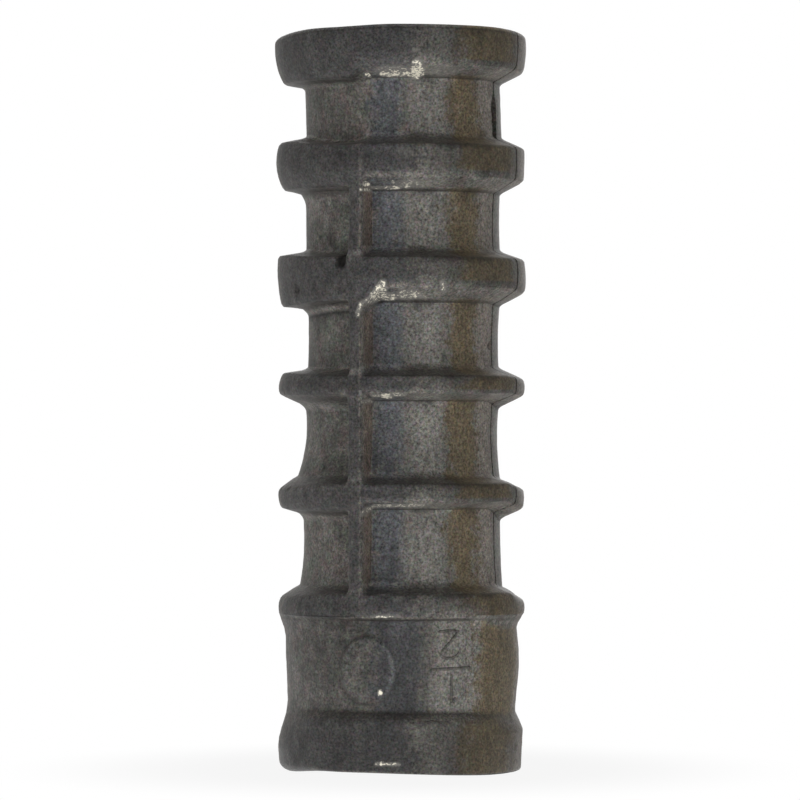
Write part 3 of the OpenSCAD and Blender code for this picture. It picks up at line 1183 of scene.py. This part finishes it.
# %% [markdown]
# ## Masks for the zinc
# Fresh zinc is bright. In air it grows a dull grey skin, bluish where it is clean and brown
# where it held dirt. Every such patch is a mask: noise of some size, an angle round the axis, or
# one of the numbers that the mesh carries. An angle alone would give straight stripes, so noise
# is added to it first, which frays the border of the patch.

# %% Place and noises
zinc = Graph(bpy.data.materials.new("old_cast_zinc"))
place = zinc.scaled(zinc.node("ShaderNodeTexCoord", output=3), 1 / MM)
relief, side, edge, foot = map(zinc.attribute, ("relief", "side", "edge", "foot"))
grime, wall, dent, rub_and_glint = map(zinc.attribute, ("grime", "wall", "dent", "rub_and_glint"))
broad = zinc.noise(place, 0.3, 2, seed=3)
cloud = zinc.noise(place, 0.9, 5, 0.65, seed=9)
tint = zinc.noise(place, 1.7, 4, 0.6, seed=41)
mottle = zinc.noise(place, 3.6, 4, 0.65, seed=17)
glints = zinc.noise(place, 7, 2, 0.6, seed=83)
speckle = zinc.noise(place, 8, 2, 0.7, seed=29)
# The last two are drawn out along the axis, as marks of use are
scratched = zinc.noise(zinc.vector("MULTIPLY", place, (1, 1, 0.35)), 9, 3, 0.7, seed=53)
drawn = zinc.noise(zinc.vector("MULTIPLY", place, (1, 1, 0.25)), 2.2, 3, 0.6, seed=67)
print(f"{len(zinc.tree.nodes)} nodes for the place, the numbers on the mesh and the noises")

# %% Patches round the axis
outward = zinc.vector("NORMALIZE", zinc.vector("MULTIPLY", place, (1, 1, 0)))
FRAY_BROAD, FRAY_FINE = 34, 22
frayed = FRAY_BROAD * (cloud - 0.5) + FRAY_FINE * (mottle - 0.5)
upward = zinc.node("ShaderNodeSeparateXYZ", {}, {0: place}, 2)
on_collar = zinc.step(9.2, 8.0, upward + 2 * (cloud - 0.5)) * zinc.step(2.5, 3.1, upward)


def patch(turn, flat, fade):
    """A frayed patch all the way up, centred on an angle counted from the camera's direction."""
    angle = math.radians(VIEW_TURN + turn)
    towards = (math.sin(angle), -math.cos(angle), 0)
    cosine = zinc.vector("DOT_PRODUCT", outward, towards, output="Value")
    degrees = zinc.node("ShaderNodeMath", {"operation": "ARCCOSINE"}, {0: cosine}) * math.degrees(1)
    return zinc.step(flat + fade, flat, degrees + frayed)


def patches(floors, crests, collar):
    """A patch that sits elsewhere on floors, crests and collar. Each is a turn, a flat and a fade."""
    return zinc.between(zinc.between(patch(*floors), patch(*crests), relief), patch(*collar), on_collar)


print(f"the border of a patch frays by up to {(FRAY_BROAD + FRAY_FINE) / 2:.0f} degrees each way")

# %% [markdown]
# ## Clean and stained metal
# Clean bluish patches lie on the open metal. A paler patch a little right of the middle is partly
# a paler skin and partly a painted highlight band. An ochre streak runs down one side, strongest
# on the floors, with rust-brown blotches in it, and crests left of the middle carry painted shade.
# Each is one colour laid over the last through its own mask.

# %% Colours of old zinc
DARK_GREY, LIGHT_GREY = colour(80, 78, 74), colour(94, 91, 87)
GREENISH, REDDISH, BLUISH = colour(80, 86, 77), colour(90, 77, 75), colour(80, 82, 86)
PALE_AND_HIGHLIGHT, OPEN_GREY, REAR_GREY = colour(112, 110, 105), colour(115, 109, 102), colour(92, 90, 84)
OCHRE, RUST, FIN_BROWN = colour(94, 84, 66), colour(92, 78, 48), colour(98, 87, 78)
SHADED_CREST, DUST, DIRT_AND_SHADE, DENT_DIRT_AND_SHADE = (
    colour(67, 66, 67), colour(64, 58, 49), colour(38, 35, 32), colour(20, 18, 16),
)
THIN_SKIN_AND_HIGHLIGHT, RUBBED_AND_GLINT, BARE_ZINC_GLINT = (
    colour(122, 117, 108), colour(122, 120, 115), colour(232, 226, 208),
)
print(f"bare zinc is {BARE_ZINC_GLINT[1] / DARK_GREY[1]:.0f} times as bright as its darkest skin")

# %% Tones of the skin
skin_colour = zinc.blend(DARK_GREY, LIGHT_GREY, zinc.step(0.4, 0.62, cloud))
skin_colour = zinc.blend(skin_colour, GREENISH, zinc.step(0.5, 0.62, tint) * 0.5)
skin_colour = zinc.blend(skin_colour, REDDISH, zinc.step(0.48, 0.38, tint) * 0.5)
bluish = patches((-8, 5, 9), (-8, 5, 9), (-1, 7, 8)) * (0.8 - 0.5 * relief)
skin_colour = zinc.blend(skin_colour, BLUISH, bluish)
# The pale patch is partly a paler skin and partly a painted highlight band.
pale = patches((15, 6, 9), (10, 6, 9), (28, 11, 8)) * (0.82 - 0.2 * relief)
skin_colour = zinc.blend(skin_colour, PALE_AND_HIGHLIGHT, pale)
open_grey = patches((57, 6, 7), (80, 8, 10), (78, 3, 8)) * 0.9
skin_colour = zinc.blend(skin_colour, OPEN_GREY, open_grey)
rear = patch(199, 60, 30) * zinc.step(0.45, 0.6, broad)
skin_colour = zinc.blend(skin_colour, REAR_GREY, rear)
print(f"{len(zinc.tree.nodes)} nodes with the clean tones")

# %% Ochre, rust and painted shade on crests
ochre = patches((39.5, 7, 7), (46, 13, 8), (58, 14, 8)) * zinc.step(-0.42, -0.08, side)
skin_colour = zinc.blend(skin_colour, OCHRE, ochre * 0.85)
# Crests left of the middle are painted darker, as shade.
shaded_crests = patch(-36, 38, 8) * relief
skin_colour = zinc.blend(skin_colour, SHADED_CREST, shaded_crests * 0.65)
rust = zinc.step(0.5, 0.66, mottle) * (0.8 * ochre + 0.3 * zinc.step(0.6, 0.75, broad))
skin_colour = zinc.blend(skin_colour, RUST, rust * 0.45)
skin_colour = zinc.blend(skin_colour, FIN_BROWN, wall * 0.75)
print(f"{len(zinc.tree.nodes)} nodes with the stains")

# %% [markdown]
# ## Dirt, painted light and shade, grain and rubbed edges
# Brown dust has settled on the upper flanks, because the shield stood upright in its box. The
# grime number darkens the skin with dirt and painted shade and lightens it with painted light,
# and the feet of the walls and the dents are darkened with dirt and painted shade. A zinc casting
# is never one flat tone, so blotches and grains follow, each grain with a cast of its own. Along
# the lower edges the skin is thin and carries a painted highlight, and where it was rubbed
# through, bare metal shows, together with painted glints.

# %% Grime, dust, dirt and painted light and shade
# The grime number darkens the skin for dirt and painted shade, and below 0 it brightens it as painted
# light.
skin_colour = zinc.scaled(skin_colour, 1 - 0.48 * grime)
skin_colour = zinc.blend(skin_colour, DUST, zinc.step(0.15, 0.75, side) * 0.2)
# Dirt and painted shade at the feet of walls, together with stains and the dark seam.
skin_colour = zinc.blend(skin_colour, DIRT_AND_SHADE, foot * (0.6 + 0.5 * mottle))
# Dents are darkened nearly to black with dirt and painted shade.
skin_colour = zinc.blend(skin_colour, DENT_DIRT_AND_SHADE, zinc.step(0.1, 0.9, dent) * 0.9)
# Lower edges take a lighter tone: thin skin, with a painted highlight on it.
thin_skin_and_highlight = edge * zinc.step(0.2, 0.75, mottle + 0.5 * (scratched - 0.5)) * patch(-8, 18, 8)
skin_colour = zinc.blend(skin_colour, THIN_SKIN_AND_HIGHLIGHT, thin_skin_and_highlight * 0.6)
print(f"{len(zinc.tree.nodes)} nodes with the dirt")

# %% Blotches, grains and bare metal
blotchy = 1 + 1.6 * (mottle - 0.5) + 1.0 * (cloud - 0.5) + 0.9 * (drawn - 0.5)
skin_colour = zinc.scaled(skin_colour, blotchy)
fine = {"Vector": place, "Scale": 8, "Detail": 1}
grains = zinc.node("ShaderNodeTexNoise", {"noise_dimensions": "3D"}, fine, 1)
cast = zinc.vector("MULTIPLY_ADD", grains, (0.6, 0.6, 0.6), (0.7, 0.7, 0.7))
skin_colour = zinc.vector("MULTIPLY", skin_colour, cast)
skin_colour = zinc.scaled(skin_colour, 1 + 3.1 * (speckle - 0.5))
# Rubbed places are partly worn metal and partly painted glints: a lighter grey, then near-white bare
# zinc where they are strongest.
rubbed = zinc.step(0.1, 0.9, rub_and_glint + 0.8 * (scratched - 0.5))
skin_colour = zinc.blend(skin_colour, RUBBED_AND_GLINT, rubbed * 0.75)
sparkle = rub_and_glint + 3.2 * (glints - 0.5) + 1.2 * (mottle - 0.5)
bare = zinc.step(0.76, 1.42, sparkle) * zinc.step(0.4, 0.75, rub_and_glint)
skin_colour = zinc.blend(skin_colour, BARE_ZINC_GLINT, bare)
print(f"{len(zinc.tree.nodes)} nodes with the grains")

# %% [markdown]
# ## Gloss and relief
# The grey skin is dull but still metal below, so part of the light comes back as from a rough
# metal. That gives the soft bright band that follows a lamp round the shield. The grain of the
# mould is far too fine for the mesh, so it is a bump.

# %% Surface and output
bumpy = 0.45 * mottle + 0.35 * speckle + 0.2 * cloud
normal = zinc.node("ShaderNodeBump", {}, {"Strength": 0.6, "Distance": 0.05 * MM, "Height": bumpy})
surface = zinc.node("ShaderNodeBsdfPrincipled", {}, {
    "Base Color": skin_colour,
    "Metallic": 0.2,
    "Roughness": 0.6 - 0.2 * bare,
    "Normal": normal,
    "Specular IOR Level": 0.2,
})
zinc.node("ShaderNodeOutputMaterial", {}, {"Surface": surface})
mesh.materials.append(zinc.owner)
figures_mesh.materials.append(zinc.owner)
print(f"{zinc.owner.name}: {len(zinc.tree.nodes)} nodes")

# %% [markdown]
# ## Camera
# The picture was taken level with the middle of the shield and from close by, about a quarter
# of a metre away: the rings near both ends curve a little. The lens is chosen so that the width
# of the picture spans 41.4 mm at the axis.

# %% Place the camera
CAMERA_AWAY, CAMERA_UP, CAMERA_ASIDE = 250.0, 19.10, 0.052
PICTURE_W = 41.41
FILM_W = 36


def link(name, data):
    made = bpy.data.objects.new(name, data)
    bpy.context.scene.collection.objects.link(made)
    return made


def out_to(turn, away, height):
    """A point at an angle from the camera's direction, away from the axis and up, in mm."""
    angle = math.radians(VIEW_TURN + turn)
    return Vector((math.sin(angle) * away, -math.cos(angle) * away, height)) * MM


camera_data = bpy.data.cameras.new("camera")
camera_data.sensor_width = FILM_W
camera_data.lens = FILM_W * CAMERA_AWAY / PICTURE_W
camera_data.clip_start, camera_data.clip_end = 0.01, 20
camera = link("camera", camera_data)
bpy.context.scene.camera = camera
camera.location = out_to(0, CAMERA_AWAY, CAMERA_UP) - out_to(90, CAMERA_ASIDE, 0)
camera.rotation_euler = (math.radians(90), 0, math.radians(VIEW_TURN))
print(f"lens {camera_data.lens:.0f} mm, {CAMERA_AWAY:.0f} mm from the axis")

# %% [markdown]
# ## Floor and room
# The floor and the room show white to the camera and in reflections. The light they give the
# shield is a dimmer one, brighter from the side than from above. Near the shield the floor keeps
# some of its own shade, so that the shadow of contact stays.

# %% A pale floor
FLOOR_HALF = 3.0
WHITE_NEAR = 0.9
SHADE_FROM, SHADE_TO = 0.008, 0.022


def looked_at(graph):
    """1 for what the camera sees straight, in a mirror or through glass."""
    outputs = graph.node("ShaderNodeLightPath").socket.node.outputs
    kinds = ("Camera", "Glossy", "Transmission")
    return graph.step(0, 1, sum(Wire(graph, outputs[f"Is {kind} Ray"]) for kind in kinds))


floor = Graph(bpy.data.materials.new("pale_floor"))
far = floor.vector("LENGTH", floor.node("ShaderNodeTexCoord", output=3), output="Value")
white_share = looked_at(floor) * (WHITE_NEAR + (1 - WHITE_NEAR) * floor.step(SHADE_FROM, SHADE_TO, far))
paint = floor.node("ShaderNodeBsdfDiffuse", {}, {"Color": colour(236, 236, 236)})
white = floor.node("ShaderNodeEmission", {}, {"Color": (1, 1, 1, 1), "Strength": 1.0})
shown = floor.node("ShaderNodeMixShader", {}, {0: white_share, 1: paint, 2: white})
floor.node("ShaderNodeOutputMaterial", {}, {"Surface": shown})
floor_mesh = bpy.data.meshes.new("floor")
corners = [(x * FLOOR_HALF, y * FLOOR_HALF, 0) for x, y in ((-1, -1), (1, -1), (1, 1), (-1, 1))]
floor_mesh.from_pydata(corners, [], [(0, 1, 2, 3)])
floor_mesh.materials.append(floor.owner)
link("floor", floor_mesh)
print(f"a floor {2 * FLOOR_HALF:.0f} m wide")

# %% A white room
SIDE_LIGHT, LESS_ABOVE = 0.21, 0.05
bpy.context.scene.world = bpy.data.worlds.new("room")
room = Graph(bpy.context.scene.world)
height = room.node("ShaderNodeSeparateXYZ", {}, {0: room.node("ShaderNodeTexCoord", output=0)}, 2)
light = SIDE_LIGHT - LESS_ABOVE * room.step(0.0, 0.7, height)
dim = room.node("ShaderNodeBackground", {}, {"Strength": light})
bright = room.node("ShaderNodeBackground", {}, {"Color": (1, 1, 1, 1), "Strength": 1.0})
seen_room = room.node("ShaderNodeMixShader", {}, {0: looked_at(room), 1: dim, 2: bright})
room.node("ShaderNodeOutputWorld", {}, {"Surface": seen_room})
print(f"the room lights the shield at {SIDE_LIGHT - LESS_ABOVE:.2f} to {SIDE_LIGHT:.2f}")

# %% [markdown]
# ## Lamps
# The broad lamp stands to the right of the camera, so that its band of light lies a little right
# of the middle, as in the picture. The lower flanks are brighter than the upper ones there, as
# over a lit table, so a panel lies on the table in front of the shield and faces up. A small
# lamp, low and to the left, strikes glints from the rubbed edges. One lamp stands behind, where
# the picture doesn't show its light, so that the back can be looked at too.

# %% Five soft lamps
Lamp = namedtuple("Lamp", "name turn away height width tall watts aim")
LAMPS = [
    Lamp("broad_right", 26, 170, 12, 50, 40, 0.045, 19),
    Lamp("table_panel", 0, 158, 0.05, 420, 300, 0.43, None),
    Lamp("soft_left", -75, 190, 20, 90, 70, 0.03, 19),
    Lamp("small_low", -16, 130, 5, 8, 6, 0.008, 19),
    Lamp("soft_back", 170, 200, 60, 150, 110, 0.11, 19),
]
for lamp in LAMPS:
    light = bpy.data.lights.new(lamp.name, "AREA")
    light.shape = "RECTANGLE"
    light.size, light.size_y = lamp.width * MM, lamp.tall * MM
    light.energy = lamp.watts
    holder = link(lamp.name, light)
    holder.location = out_to(lamp.turn, lamp.away, lamp.height)
    aim = Vector((0, 0, lamp.aim * MM)) - holder.location if lamp.aim else Vector((0, 0, 1))
    holder.rotation_euler = aim.to_track_quat("-Z", "Y").to_euler()
    holder.visible_camera = False
print(", ".join(f"{lamp.name} {lamp.watts} W" for lamp in LAMPS))

# %% [markdown]
# ## Rendering
# Colours are shown as they are written, without a film curve.

# %% Colour
bpy.context.scene.view_settings.view_transform = "Standard"
